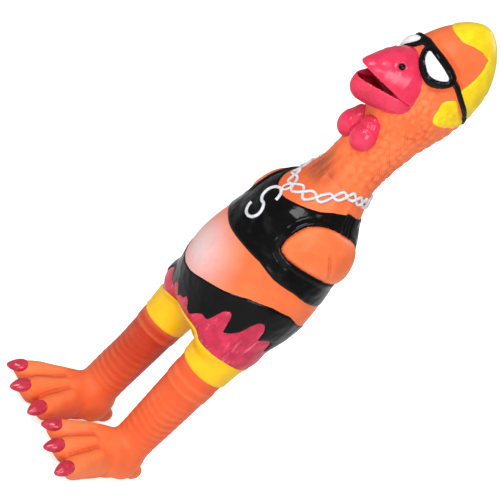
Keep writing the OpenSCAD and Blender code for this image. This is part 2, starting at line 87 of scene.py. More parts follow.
def pick(*pieces):
    """Selects pieces, the first one active."""
    clear()
    for piece in pieces:
        piece.select_set(True)
    bpy.context.view_layer.objects.active = pieces[0]


def finish_with(piece, kind, **settings):
    """Adds a modifier, sets it and applies it."""
    pick(piece)
    tool = piece.modifiers.new(kind.lower(), kind)
    for name, value in settings.items():
        setattr(tool, name, value)
    bpy.ops.object.modifier_apply(modifier=tool.name)


def named(piece, name):
    piece.name = name
    piece.data.name = name
    return piece


def copy_of(piece, name):
    pick(piece)
    bpy.ops.object.duplicate()
    return named(bpy.context.object, name)


def settle():
    """Applies the place, turn and scale of what is selected."""
    bpy.ops.object.transform_apply(location=True, rotation=True, scale=True)


def joined(name, pieces):
    pick(*pieces)
    bpy.ops.object.join()
    return named(bpy.context.object, name)


def drawn_through(name, rings, sides=72):
    """A closed form: a disc drawn through rings of (x, y, z, half width, half depth) in metres."""
    clear()
    x, y, z, w, d = rings[0]
    bpy.ops.mesh.primitive_circle_add(vertices=sides, radius=1, fill_type="NGON",
                                      location=(x, y, z))
    piece = named(bpy.context.object, name)
    bpy.ops.object.mode_set(mode="EDIT")
    bpy.ops.transform.resize(value=(w, d, 1), center_override=(x, y, z))
    for x2, y2, z2, w2, d2 in rings[1:]:
        step = (x2 - x, y2 - y, z2 - z)
        bpy.ops.mesh.extrude_region_move(TRANSFORM_OT_translate={"value": step})
        bpy.ops.transform.resize(value=(w2 / w, d2 / d, 1), center_override=(x2, y2, z2))
        x, y, z, w, d = x2, y2, z2, w2, d2
    bpy.ops.mesh.select_all(action="SELECT")
    bpy.ops.mesh.normals_make_consistent(inside=False)
    clear()
    pick(piece)
    settle()
    return piece


def drawn_forward(name, rings, sides, place, turn=0.0):
    """A form drawn from a place through (reach, height, half width, half height) in millimetres."""
    flat = [(0, h * MM, reach * MM, w * MM, d * MM) for reach, h, w, d in rings]
    piece = drawn_through(name, flat, sides)
    piece.rotation_euler = (math.radians(90), 0, turn)
    piece.location = place
    pick(piece)
    settle()
    return piece


def ball(place, half, turn):
    """An oval ball at a place in metres, with half sizes in millimetres, turned round z."""
    clear()
    bpy.ops.mesh.primitive_uv_sphere_add(segments=40, ring_count=20, radius=1, location=place,
                                         rotation=(0, 0, turn))
    bpy.context.object.scale = [r * MM for r in half]
    settle()
    return bpy.context.object


def softened(piece, voxel, rounds):
    """Remeshes a piece evenly and smooths it."""
    finish_with(piece, "REMESH", mode="VOXEL", voxel_size=voxel * MM)
    finish_with(piece, "SMOOTH", factor=0.5, iterations=rounds)
    pick(piece)
    bpy.ops.object.shade_smooth()
    return piece


def points_of(piece, what="co"):
    values = np.empty(len(piece.data.vertices) * 3)
    piece.data.vertices.foreach_get(what, values)
    return values.reshape(-1, 3)


def move_points(piece, co):
    piece.data.vertices.foreach_set("co", co.ravel())
    piece.data.update()


def keep(piece, name, values):
    """Stores a value for each point of a piece under a name that its finish reads."""
    layer = piece.data.attributes.new(name, "FLOAT", "POINT")
    layer.data.foreach_set("value", np.asarray(values, np.float32))


def ease(t):
    """A smooth step from nought to one."""
    c = np.clip(t, 0, 1)
    return c * c * (3 - 2 * c)


def bell(distance, width):
    """One at no distance, falling smoothly to nought on both sides."""
    return np.exp(-((distance / width) ** 2))


def within(value, low, high, soft):
    """One between two values, falling to nought over a soft distance outside them."""
    return ease((value - low) / soft + 1) * ease((high - value) / soft + 1)


def between(value, low, high):
    """How far a value is inside a band."""
    return np.minimum(value - low, high - value)


def smooth_line(points):
    """A smooth curve through (place, value) points, as a function of the place."""
    at, value = np.array(points, float).T
    slope = np.empty_like(value)
    slope[1:-1] = (value[2:] - value[:-2]) / (at[2:] - at[:-2])
    slope[0] = (value[1] - value[0]) / (at[1] - at[0])
    slope[-1] = 0

    def read(x):
        x = np.clip(x, at[0], at[-1])
        i = np.clip(np.searchsorted(at, x) - 1, 0, len(at) - 2)
        h = at[i + 1] - at[i]
        t = (x - at[i]) / h
        return ((2 * t**3 - 3 * t**2 + 1) * value[i] + (t**3 - 2 * t**2 + t) * h * slope[i]
                + (3 * t**2 - 2 * t**3) * value[i + 1] + (t**3 - t**2) * h * slope[i + 1])
    return read


def point_at(x, y, z):
    """A point in metres from millimetres off the body's axis."""
    return (AXIS_X + x * MM, AXIS_Y + y * MM, z * MM)


# The body's form: half widths, half depths and forward leans at the heights that shape it

BROW, CROWN = 390, 435
PELVIS_TOP, PELVIS_DROP, PELVIS_SHARE = 150, 15, 0.62
half_width = smooth_line([(131, 48.5), (148, 49), (186, 51), (229, 45), (252, 39.5), (271, 28),
    (296, 21.8), (332, 23.5), (366, 29.5), (390, 29.5)])
half_depth = smooth_line([(131, 34), (148, 41), (186, 50.5), (229, 43.75), (252, 39), (271, 28),
    (296, 22.25), (332, 25.25), (366, 34.25), (390, 34.25)])
lean = smooth_line([(131, 1), (252, 1), (271, 1.5), (296, 3.5), (390, 3.5)])


def skull(z):
    """One up to the brow, closing to nought at the crown."""
    rise = np.clip((z - BROW) / (CROWN - BROW), 0, 1)
    return (1 - rise ** 1.5) ** 0.6


def bearing(co):
    """Angle from the beak and height in millimetres of points in metres."""
    z = co[:, 2] / MM
    x = (co[:, 0] - AXIS_X) / MM / half_width(z)
    y = ((co[:, 1] - AXIS_Y) / MM + lean(z)) / half_depth(z)
    return np.degrees(np.arctan2(x, -y)), z


def body_form():
    """Pelvis to crown, its low end rounded in."""
    rings = []
    for z in [136, 137.5, 140, 144, *range(148, 424, 4), 426, 429, 431.5, 433.2, 434.4]:
        drop = max(PELVIS_TOP - z, 0) / PELVIS_DROP
        tuck = PELVIS_SHARE + (1 - PELVIS_SHARE) * math.sqrt(1 - drop ** 2)
        size = skull(z) * tuck * MM
        rings.append((*point_at(0, -lean(z), z), half_width(z) * size, half_depth(z) * size))
    return drawn_through("body", rings, sides=96)


# Legs and feet

leg_radius = smooth_line([(12, 17.5), (24, 17), (34, 16.2), (60, 17), (84, 18), (104, 18.6),
    (118, 19.8), (135, 21), (150, 21.5), (162, 20)])
# How much slimmer a leg is than the common radius, and how far its ankle stands forward
LEG_SLIM = {"left": 0.8, "right": 1.5}
ANKLE_FORWARD = {"left": 0, "right": 2.2}
ANKLE_TOP, ANKLE_FADE, ANKLE_SWELL = 36, 44, 0.6
CROTCH_BACK, CROTCH_Z, CROTCH_HALF = 4, 131, (16, 6, 12)
THIGH_Z = 146
THIGH_HALF = {"left": (21, 30, 24), "right": (19.5, 30, 24)}

# A toe's and a claw's forms, as (reach, height of the middle, half width, half height)
TOE_ROOT = ((2, 13, 8, 12), (14, 14, 10, 16), (24, 13, 9.4, 15.6), (32, 11.8, 8.6, 14),
    (40, 10.4, 8, 12.6))
TOE_TIP = ((48, 9.4, 8.2, 10.2), (53.5, 9.6, 7.4, 7.4), (58, 9.6, 5.8, 5), (61, 9.4, 4, 3.4),
    (63, 9, 2.2, 2))
CLAW_RINGS = ((55, 12.4, 2.8, 2.4), (57, 11.6, 5, 4), (60, 10.2, 5.8, 5), (63, 8.8, 5.4, 4.9),
    (66, 7.4, 4, 3.9), (68.4, 6.2, 2.3, 2.3), (69.8, 5.6, 1, 1))
# Each toe, from the chicken's right to its left: how much longer and higher it is than that
TOES = {"left": ((-2.5, 6.5), (0, 3), (3, 1)), "right": ((2.5, 4.5), (5.5, 3), (2, 2))}
TOE_SPREAD = math.radians(19)
# The lumps of a foot behind its toes: place ahead of the shin's axis, height, half sizes
FOOT_LUMPS = ((0, 20, (17.5, 18.5, 20)), (10, 18, (17, 20, 20.5)), (21, 16.5, (14, 13, 17)),
    (-10, 10, (11, 13, 11.5)), (-24.5, 7, (6.2, 8.5, 7)))


def leg_place(side, ahead=0.0, height=0.0):
    """A point of a leg in metres, from millimetres ahead of its shin's axis and up."""
    x, y, _ = box_middle(side + "_shin")
    forward = Vector((math.sin(LEGS_TURN), -math.cos(LEGS_TURN)))
    flat = Vector((x, y)) + forward * ahead * MM
    return (flat.x, flat.y, height * MM)


def round_leg(side, co):
    """Angle round a leg from its front, and the distance from its axis in millimetres."""
    x, y, _ = leg_place(side)
    dx, dy = (co[:, 0] - x) / MM, (co[:, 1] - y) / MM
    across = dx * math.cos(LEGS_TURN) + dy * math.sin(LEGS_TURN)
    ahead = dx * math.sin(LEGS_TURN) - dy * math.cos(LEGS_TURN)
    return np.degrees(np.arctan2(across, ahead)), np.hypot(across, ahead)


def off_legs(co):
    """Millimetres from points to the nearer leg's axis."""
    return np.min([round_leg(side, co)[1] for side in SIDES], axis=0)


def leg_form(side):
    rings = []
    for z in range(10, 162, 4):
        forward = ANKLE_FORWARD[side] * (1 - ease((z - ANKLE_TOP) / ANKLE_FADE))
        r = (leg_radius(z) - LEG_SLIM[side] + ANKLE_SWELL * forward) * MM
        rings.append((*leg_place(side, forward, z), r, r))
    return drawn_through(side + "_leg", rings, sides=56)


def crotch_form():
    """The web of rubber between the tops of the legs."""
    x, y, _ = (Vector(leg_place("left")) + Vector(leg_place("right"))) / 2
    return ball((x, y + CROTCH_BACK * MM, CROTCH_Z * MM), CROTCH_HALF, LEGS_TURN)


def thigh_form(side):
    """The pelvis' lower corner, where a leg leaves the body."""
    return ball(leg_place(side, 0, THIGH_Z), THIGH_HALF[side], LEGS_TURN)


def toe_turn(k):
    return LEGS_TURN + (k - 1) * TOE_SPREAD


def toe_form(side, k):
    longer, higher = TOES[side][k]
    rings = [*TOE_ROOT, *((reach + longer, h, w, d) for reach, h, w, d in TOE_TIP)]
    rings = [(reach, h + higher / 2, w, d + higher / 2) for reach, h, w, d in rings]
    return drawn_forward(side + "_toe", rings, 40, leg_place(side), toe_turn(k))


def claw_form(side, k):
    longer, higher = TOES[side][k]
    rings = [(reach + longer, h + higher * 0.8, w, d) for reach, h, w, d in CLAW_RINGS]
    return drawn_forward(side + "_claw", rings, 32, leg_place(side), toe_turn(k))


def claws_form(side):
    claws = joined(side + "_pink_claws", [claw_form(side, k) for k in range(3)])
    return softened(claws, 0.6, 4)


def foot_form(side):
    parts = [toe_form(side, k) for k in range(3)]
    for ahead, height, half in FOOT_LUMPS:
        parts.append(ball(leg_place(side, ahead, height), half, LEGS_TURN))
    return joined(side + "_foot", parts)


# The whole skin, and cutting it into pieces

SKIN_VOXEL, SKIN_ROUNDS, MEETING_ROUNDS = 1.1, 6, 40
SOLE_Z = 0.05
OFF_LINE = 0.02  # no point lies closer to a cutting line than this


def is_meeting(co):
    """Where the thighs meet the body, and each leg its foot, clear of the toes."""
    z = co[:, 2] / MM
    hips = (z > 108) & (z < 170)
    ankles = (z > 17) & (z < 52) & (off_legs(co) < 32)
    return hips | ankles


def whole_skin():
    """All the forms joined into one skin, remeshed and smoothed where they meet."""
    parts = [body_form(), crotch_form()]
    for side in SIDES:
        parts += [leg_form(side), thigh_form(side), foot_form(side)]
    skin = joined("skin", parts)
    finish_with(skin, "REMESH", mode="VOXEL", voxel_size=SKIN_VOXEL * MM)
    meeting = skin.vertex_groups.new(name="meeting")
    meeting.add(np.flatnonzero(is_meeting(points_of(skin))).tolist(), 1.0, "REPLACE")
    finish_with(skin, "SMOOTH", factor=0.5, iterations=MEETING_ROUNDS, vertex_group="meeting")
    finish_with(skin, "SMOOTH", factor=0.5, iterations=SKIN_ROUNDS)
    co = points_of(skin)
    co[:, 2] = np.maximum(co[:, 2], SOLE_Z * MM)
    move_points(skin, co)
    pick(skin)
    bpy.ops.object.shade_smooth()
    return skin


def cut(piece, inside):
    """Keeps a piece where inside(angle, height, points) is positive, cut on its zero line."""
    co = points_of(piece)
    value = inside(*bearing(co), co)
    value[np.abs(value) < OFF_LINE] = OFF_LINE
    bm = bmesh.new()
    bm.from_mesh(piece.data)
    bm.verts.ensure_lookup_table()
    bm.edges.ensure_lookup_table()
    ends = np.array([(e.verts[0].index, e.verts[1].index) for e in bm.edges])
    crossing = np.nonzero((value[ends[:, 0]] > 0) != (value[ends[:, 1]] > 0))[0]
    on_line = []
    for edge, (a, b) in zip([bm.edges[i] for i in crossing], ends[crossing]):
        share = value[a] / (value[a] - value[b])
        on_line.append(bmesh.utils.edge_split(edge, bm.verts[a], share)[1])
        bm.verts.ensure_lookup_table()
    bmesh.ops.connect_verts(bm, verts=on_line)
    bm.verts.ensure_lookup_table()
    outside = [bm.verts[i] for i in np.nonzero(value < 0)[0]]
    bmesh.ops.delete(bm, geom=outside, context="VERTS")
    bm.to_mesh(piece.data)
    bm.free()
    piece.data.update()


def part_of(source, name, inside):
    piece = copy_of(source, name)
    piece.vertex_groups.clear()
    cut(piece, inside)
    return piece


def backed(piece, wall):
    """Gives a piece of skin its thickness, towards the inside."""
    finish_with(piece, "SOLIDIFY", thickness=wall * MM, offset=-1, use_rim=True)
    pick(piece)
    bpy.ops.object.shade_smooth_by_angle(angle=math.radians(50))
    return piece


def raised(source, name, inside, lift, soft=1.2, sink=0.25, wall=1.2):
    """A painted area: the skin inside an outline, lifted, its edge run down into the skin."""
    piece = part_of(source, name, inside)
    co, n = points_of(piece), points_of(piece, "normal")
    rise = ease(inside(*bearing(co), co) / soft)
    move_points(piece, co + n * (rise * (lift + sink) - sink)[:, None] * MM)
    return backed(piece, wall)


# Outlines on the skin

def around(left, rounds, right=None):
    """A line round the body through (angle, height) points from front to back, for both sides."""
    fine = np.arange(0, 180.5, 0.5)
    lines = []
    for points in (left, right or left):
        z = np.interp(fine, *np.array(points, float).T)
        for _ in range(rounds):
            z[1:-1] = (z[:-2] + 2 * z[1:-1] + z[2:]) / 4
        lines.append(z)
    return lambda a: np.where(a < 0, np.interp(-a, fine, lines[1]), np.interp(a, fine, lines[0]))


def closed_curve(points, steps=6):
    """A smooth closed curve through points."""
    p = np.array(points, float)
    before, after, beyond = np.roll(p, 1, 0), np.roll(p, -1, 0), np.roll(p, -2, 0)
    rows = [0.5 * (2 * p + (after - before) * t
                   + (2 * before - 5 * p + 4 * after - beyond) * t**2
                   + (3 * p - before - 3 * after + beyond) * t**3)
            for t in np.arange(steps) / steps]
    return np.stack(rows, 1).reshape(-1, 2)


def squared_distance(p, start, end):
    """From points to a straight line between two ends."""
    d = end - start
    t = np.clip((p - start) @ d / (d @ d), 0, 1)
    return ((p - start - t[:, None] * d) ** 2).sum(1)


def loop(points, degree):
    """Millimetres inside a smooth closed outline, on both sides, with a degree's length."""
    outline = closed_curve(points) * (degree, 1)
    ends = np.roll(outline, -1, 0)

    def read(a, z):
        p = np.stack((np.abs(a) * degree, z), 1)
        nearest = np.full(len(p), 1e9)
        enclosed = np.zeros(len(p), bool)
        for s, e in zip(outline, ends):
            nearest = np.minimum(nearest, squared_distance(p, s, e))
            across = (s[1] > p[:, 1]) != (e[1] > p[:, 1])
            slant = (e[0] - s[0]) / (e[1] - s[1] or 1e-9)
            enclosed ^= across & (p[:, 0] < s[0] + (p[:, 1] - s[1]) * slant)
        return np.where(enclosed, 1, -1) * np.sqrt(nearest)
    return read


def stripe(points, degree, half):
    """Millimetres inside a stripe along (angle, height) points, on both sides."""
    path = np.array(points, float) * (degree, 1)

    def read(a, z):
        p = np.stack((np.abs(a) * degree, z), 1)
        nearest = np.min([squared_distance(p, s, e) for s, e in zip(path[:-1], path[1:])], axis=0)
        return half - np.sqrt(nearest)
    return read


def on_side(side, co):
    """Millimetres towards one side of the body from its middle plane."""
    return (1 if side == "left" else -1) * (co[:, 0] - AXIS_X) / MM


def one_side(side, area, beyond=0.0):
    """An area's part on one side of the body, and a little beyond the middle plane."""
    return lambda a, z, co: np.minimum(area(a, z, co), on_side(side, co) + beyond)


# The length of a degree on the skin, at the places where outlines are drawn
CHEST_DEGREE, STRAP_DEGREE = 0.72, 0.62
HAIR_DEGREE, EYE_DEGREE, CHEEK_DEGREE = 0.52, 0.53, 0.54

hem = around([(0, 211.5), (28, 213), (44, 213.6), (62, 211), (85, 211), (106, 208), (124, 206),
    (180, 205)], 12)
neckline = around([(0, 254.5), (12, 256), (32, 261), (54, 266.5), (68, 271), (98, 276), (140, 273),
    (180, 270)], 12)
waist = around([(0, 168), (8, 170.5), (17, 174), (40, 182), (58, 190), (78, 195), (99, 195),
    (118, 189), (150, 184), (180, 182)], 12,
    right=[(0, 168), (14, 166), (30, 167), (55, 178), (78, 189), (99, 192), (118, 188), (150, 184),
    (180, 182)])
armhole_edge = loop([(48, 232.3), (47, 241.7), (52, 252.5), (63, 258.8), (81, 262), (108, 261),
    (128, 257.5), (142, 247), (145, 236), (139, 226), (120, 227), (94, 229.1), (73, 229.1),
    (56, 229.1)], CHEST_DEGREE)
flames = around([(0, 144), (2, 146), (8, 148), (12, 152), (16, 151), (19, 145.5), (24, 145),
    (29, 150), (35, 154.5), (39, 154), (42, 154.5), (45, 160), (49, 169), (54, 172.5), (57, 170.5),
    (58, 165), (59.5, 155.5), (66, 159), (72, 165), (75, 173), (79, 179), (84, 180), (88, 176),
    (91, 165.5), (98, 168), (104, 169), (108, 165), (112, 157), (120, 160), (126, 170),
    (130, 171.5), (134, 162), (137, 154), (144, 157), (150, 166), (154, 167), (157, 160),
    (161, 151), (168, 155), (174, 161), (180, 162)], 3,
    right=[(0, 144), (5, 149), (9, 149.5), (14, 147), (19, 141), (25, 143), (31, 149), (35, 148),
    (39, 140), (46, 144), (53, 155), (58, 157), (62, 150), (65, 143), (74, 150), (82, 163),
    (87, 165), (91, 156), (94, 150), (104, 155), (112, 165), (117, 166), (121, 157), (125, 149),
    (134, 153), (142, 163), (147, 164), (151, 155), (155, 149), (166, 155), (174, 161),
    (180, 162)])
cuff_top = around([(0, 140), (35, 141.5), (45, 138), (80, 138.5), (111, 137), (180, 138)], 6,
    right=[(0, 140), (8, 137), (21, 134), (39, 128.5), (60, 126), (90, 127), (130, 131),
    (180, 138)])
cap = around([(0, 420), (34, 420), (58, 422.5), (82, 423), (103, 421), (120, 418), (180, 416)], 8)
mane = loop([(103, 421), (97, 414), (90, 406), (84, 398), (82, 392.5), (92, 388.5), (112, 383),
    (135, 377.5), (150, 379), (165, 375), (180, 378), (215, 378), (215, 425), (180, 430),
    (130, 428)], HAIR_DEGREE)
sideburn = loop([(86, 388.5), (75, 382.7), (77, 376), (79, 370.5), (85, 366.3), (99, 366.3),
    (124, 370.5), (133, 374.5), (112, 380.5), (98, 385)], CHEEK_DEGREE)
lens = loop([(14, 401.4), (19, 403.8), (31, 403.6), (44, 402.6), (58, 400.2), (62.5, 398),
    (61, 395.5), (55, 392.8), (46, 390.6), (38, 390.6), (28, 393.4), (19, 396.8)], EYE_DEGREE)
rim_outline = loop([(-6, 406), (12, 407), (32, 407), (51, 405.4), (64, 402.8), (69.5, 399),
    (68, 393.6), (60, 388.6), (50, 385.2), (40, 385), (27, 387.8), (16, 391.8), (7, 396.5),
    (2, 400), (-6, 401)], EYE_DEGREE)
temple = stripe([(62, 399), (76, 396.2), (92, 390.8), (110, 385), (120, 381), (134, 375)],
    CHEEK_DEGREE, 2.3)
chain_line = around([(0, 263.5), (11, 265), (30, 268.5), (45, 274.5), (60, 282), (80, 287),
    (143, 286), (180, 285)], 10)

ARMHOLE_SHIFT = 8
GLASSES_DROP, GLASSES_TURN = 6.5, 45
LEFT_RIM_MORE = 1.4
LENS_UNDER, WING_UNDER = 0.8, 3
MOUTH_Z, LINING_ANGLE, LINING_HALF = 366, 46, 9


def armhole(a, z):
    """The right armhole is painted a little further forward than the left."""
    return armhole_edge(np.where(a < 0, ARMHOLE_SHIFT - a, a), z)


def lowered(a, z):
    """Heights for the glasses' outlines: they hang a little lower on the right."""
    return z + GLASSES_DROP * ease(-a / GLASSES_TURN)


def lens_edge(a, z):
    """Millimetres inside the white of a lens: the left one has the wider rim."""
    return lens(a, lowered(a, z)) - LEFT_RIM_MORE * ease(a / 5)


def hair_area(a, z, co):
    return np.maximum(z - cap(a), mane(a, z))


def glasses_area(a, z, co):
    h = lowered(a, z)
    return np.maximum(np.minimum(rim_outline(a, h), -lens_edge(a, z)), temple(a, h))


def lens_area(a, z, co):
    return lens_edge(a, z) + LENS_UNDER


def lining_area(a, z, co):
    return LINING_HALF * (1 - np.hypot(a / LINING_ANGLE, (z - MOUTH_Z) / LINING_HALF))


def tank_area(a, z, co):
    return np.minimum(between(z, hem(a), neckline(a)), -armhole(a, z))


def wing_area(a, z, co):
    return armhole(a, z) + WING_UNDER


def shorts_area(a, z, co):
    return np.minimum(waist(a) - z, (z - flames(a)) * 0.7)


# Relief of the moulded skin

WING_RISE, WING_RAMP = 5.8, {"left": 18, "right": 28}
STRAP_FOLDS = (94, 101, 108)
# The heights between which a kind of relief is moulded
WING_LINE_Z, STRAP_Z = (228, 246), (262, 275)
GRAINS_Z, FOLDS_Z = (306, 376), (277, 300)
RINGS_Z, DEEP_RINGS_Z, CUFF_ROLL_Z = (40, 94), (40, 74), (97, 105)
EYE_RISE = 5.0
NECK_GRAIN, WATTLE_GRAIN = 5.6, 3.4
RING_SPACE, RING_DEPTH = 5.6, {"left": 0.5, "right": 0.4}
CREASE_FULL = 0.045


def wander(co, size, seed=0.0):
    """Smooth noise of about one at points in metres, with features of a size in millimetres."""
    shift = Vector((seed, seed, seed))
    return np.array([noise.noise(Vector(p) / (size * MM) + shift) for p in co])


def pebbles(co, size):
    """Rounded grains of a size in millimetres, from 0 in the seams between them to 1 on top."""
    far = np.array([noise.voronoi(Vector(p) / (size * MM))[0][:2] for p in co])
    return ease((far[:, 1] - far[:, 0]) / 0.5)


def mould_wings(a, z):
    """Wing stumps with a moulding line, the shirt's rolled edge and the folds of its straps."""
    inside, away = armhole(a, z), np.abs(a)
    ramp = np.where(a < 0, WING_RAMP["right"], WING_RAMP["left"])
    dome = WING_RISE * np.sqrt(1 - (1 - np.clip(armhole_edge(a, z) / ramp, 0, 1)) ** 2)
    slant = (away - 104 + (z - 232) * 1.1) * CHEST_DEGREE
    line = 0.7 * bell(slant, 0.9) * ease((inside - 1) / 3) * within(z, *WING_LINE_Z, 4)
    roll = 1.1 * bell(inside + 2.3, 1.5) - 0.8 * bell(inside + 5.4, 1.0)
    front = ease((92 - away) / 25) * ease((z - 229) / 8)
    folds = sum(bell((away - fold) * STRAP_DEGREE, 1.2) for fold in STRAP_FOLDS)
    return dome - line + roll * (0.25 + 0.75 * front) - 0.9 * folds * within(z, *STRAP_Z, 3)


def mould_eyes(a, z):
    """The raised fronts that the glasses sit on."""
    inside = rim_outline(a, lowered(a, z))
    return EYE_RISE * ease((inside + 3) / 12) * ease((np.abs(a) - 2) / 24)


def mould_neck(a, z, co):
    """Grains round the throat and nape, and upright folds above the chain."""
    amount = np.zeros(len(z))
    high = np.nonzero((z > 286) & (z < 400))[0]
    grains = pebbles(co[high], NECK_GRAIN) * within(z[high], *GRAINS_Z, 14)
    amount[high] = 0.75 * (grains - 0.6) * ease((np.abs(a[high]) - 12) / 16)
    low = np.nonzero((z > 262) & (z < 320))[0]
    turn = np.radians(a[low] * 17 + wander(co[low], 16) * 160)
    folds = np.cos(turn) * (0.55 + 0.45 * wander(co[low], 22, 5))
    amount[low] += 0.4 * folds * within(z[low], *FOLDS_Z, 11)
    return amount


def mould_leg(side, co, z):
    """Uneven rings round a shin, and a rounder one under the cuff."""
    amount = np.zeros(len(z))
    mine = np.nonzero((on_side(side, co) > 0) & (z > 26) & (z < 122))[0]
    co, z = co[mine], z[mine]
    turn, _ = round_leg(side, co)
    drift = wander(co, 20, 3) * 2.4 + 1.2 * np.sin(np.radians(turn * 2))
    waves = np.abs(np.sin(math.pi * (z + drift) / RING_SPACE))
    depth = RING_DEPTH[side] * (0.6 + 0.8 * wander(co, 25, 9))
    depth = depth * (0.3 * within(z, *RINGS_Z, 10) + 0.7 * within(z, *DEEP_RINGS_Z, 12))
    amount[mine] = depth * (np.sqrt(waves) - 0.6) + 0.7 * within(z, *CUFF_ROLL_Z, 4)
    return amount


def mould_relief(skin):
    """Moves the skin's points out and in: wings, grained neck, folds and the rings of the legs."""
    co, n = points_of(skin), points_of(skin, "normal")
    a, z = bearing(co)
    amount = mould_wings(a, z) * (z > 200) + mould_neck(a, z, co) + mould_eyes(a, z) * (z > 360)
    amount += mould_leg("left", co, z) + mould_leg("right", co, z)
    move_points(skin, co + n * amount[:, None] * MM)


def mark_creases(skin):
    """Keeps how hollow the skin is, but for the ankles, for the painted shade in its hollows and
    the painted highlight on its crests.
    """
    co, n = points_of(skin), points_of(skin, "normal")
    ends = np.empty(len(skin.data.edges) * 2, np.int64)
    skin.data.edges.foreach_get("vertices", ends)
    ends = ends.reshape(-1, 2)
    count = np.bincount(ends.ravel(), minlength=len(co))[:, None]

    def neighbours(values):
        total = np.zeros_like(values)
        np.add.at(total, ends[:, 0], values[ends[:, 1]])
        np.add.at(total, ends[:, 1], values[ends[:, 0]])
        return total / count
    hollow = ((neighbours(co) - co) * n).sum(1, keepdims=True) / MM
    for _ in range(3):
        hollow = neighbours(hollow)
    ankles = within(co[:, 2] / MM, 18, 36, 8) * ease((36 - off_legs(co)) / 8)
    keep(skin, "crease", np.clip(hollow[:, 0] / CREASE_FULL, -1, 1) * (1 - ankles))


# Beak and wattles

# Each beak half, forward through (reach, height, half width, half height); its mouth is cut
# from a corner to a tip, at (y, z)
UPPER_BEAK = ((14, 366, 20, 29), (22, 366, 22.6, 31.4), (30, 366.2, 22.8, 30.8),
    (38, 366.6, 21, 27.8), (46, 367.2, 17.2, 22.8), (53, 367.4, 12.8, 16.4), (58, 367.2, 9.2, 11.2),
    (61.4, 367, 6.8, 7.8), (63.6, 366.8, 4.8, 5.4), (64.6, 366.6, 2.6, 3))
LOWER_BEAK = ((14, 365.4, 20, 16.4), (22, 365.2, 23, 17.4), (30, 364.4, 22.6, 18),
    (37, 363.2, 19.8, 18.4), (44, 361.4, 15.4, 18), (50.5, 359.2, 11, 16), (55.5, 357.6, 7.8, 12.4),
    (58.8, 356.8, 5.2, 8.6), (60.6, 356.4, 2.8, 4.6))
UPPER_CORNER, UPPER_TIP = (-36, 365.5), (-62, 366.8)
LOWER_CORNER, LOWER_TIP = (-36, 365.3), (-59, 359)
LIP, UPPER_HOLLOW, LOWER_HOLLOW = 4.0, 4.0, 5.5
BEAK_VOXEL, BEAK_ROUNDS = 0.65, 7
NOSTRIL_X, NOSTRIL_Y, NOSTRIL_Z = 11.8, -47, 383.5
NOSTRIL_DEPTH = 2.2
GRAINED_FROM, WATTLE_DROP = 326, {"left": 0, "right": 3}
LOBE_AT, LOBE_HALF, LOBE_TURN = (10.4, -26.8, 325), (9.6, 9, 11), 0.35
STEM_AT, STEM_HALF, STEM_TURN = (7.6, -26, 332.5), (8.4, 7.6, 10), 0.2


def sliced(piece, corner, tip, keep_above):
    """Cuts a beak half level behind the mouth's corner, then along the mouth, and hollows it."""
    along = Vector((0, tip[0] - corner[0], tip[1] - corner[1])).normalized()
    up = along.cross(Vector((-1, 0, 0)))
    up = -up if up.z < 0 else up
    pick(piece)
    bpy.ops.object.mode_set(mode="EDIT")
    for facing in (Vector((0, 0, 1)), up):
        bpy.ops.mesh.select_all(action="SELECT")
        bpy.ops.mesh.bisect(plane_co=point_at(0, *corner), plane_no=facing, use_fill=True,
                            clear_inner=keep_above, clear_outer=not keep_above)
    bpy.ops.mesh.inset(thickness=LIP * MM)
    bpy.ops.transform.translate(value=up * (UPPER_HOLLOW if keep_above else -LOWER_HOLLOW) * MM)
    clear()
    return piece


def mark_mouth(piece, facing):
    """The inside of the mouth, where a beak half's hollow faces the other half."""
    co, n = points_of(piece), points_of(piece, "normal")
    ahead = -(co[:, 1] - AXIS_Y) / MM
    half = 17 * np.clip(1 - (ahead - 30) / 38, 0.1, 1)
    inner = 1 - np.abs(co[:, 0] - AXIS_X) / MM / half
    return ease((n[:, 2] * facing - 0.15) / 0.3) * ease(inner / 0.12 + 0.2)


def dent_nostril(beak, place):
    """Presses a nostril in at the point nearest a place, and returns where its dark floor is."""
    co, n = points_of(beak), points_of(beak, "normal")
    middle = co[np.argmin(((co - place) ** 2).sum(1))]
    far = np.sqrt(((co - middle) ** 2).sum(1)) / MM
    depth = NOSTRIL_DEPTH * (1 - ease((far - 1.4) / 1.3)) - 0.35 * bell(far - 3.8, 0.8)
    move_points(beak, co - n * depth[:, None] * MM)
    return 1 - ease((far - 2.2) / 0.6)


def upper_beak_form():
    """The upper half, hollowed below, with two nostrils."""
    beak = drawn_forward("upper_beak_form", UPPER_BEAK, 64, point_at(0, 0, 0))
    sliced(beak, UPPER_CORNER, UPPER_TIP, True)
    softened(beak, BEAK_VOXEL, BEAK_ROUNDS)
    dark = sum(dent_nostril(beak, point_at(x, NOSTRIL_Y, NOSTRIL_Z))
               for x in (NOSTRIL_X, -NOSTRIL_X))
    keep(beak, "mouth", mark_mouth(beak, -1))
    keep(beak, "nostril", dark)
    return beak


def lower_beak_form():
    """The lower half, hollowed above."""
    beak = drawn_forward("lower_beak_form", LOWER_BEAK, 64, point_at(0, 0, 0))
    sliced(beak, LOWER_CORNER, LOWER_TIP, False)
    softened(beak, BEAK_VOXEL, BEAK_ROUNDS)
    keep(beak, "mouth", mark_mouth(beak, 1))
    return beak


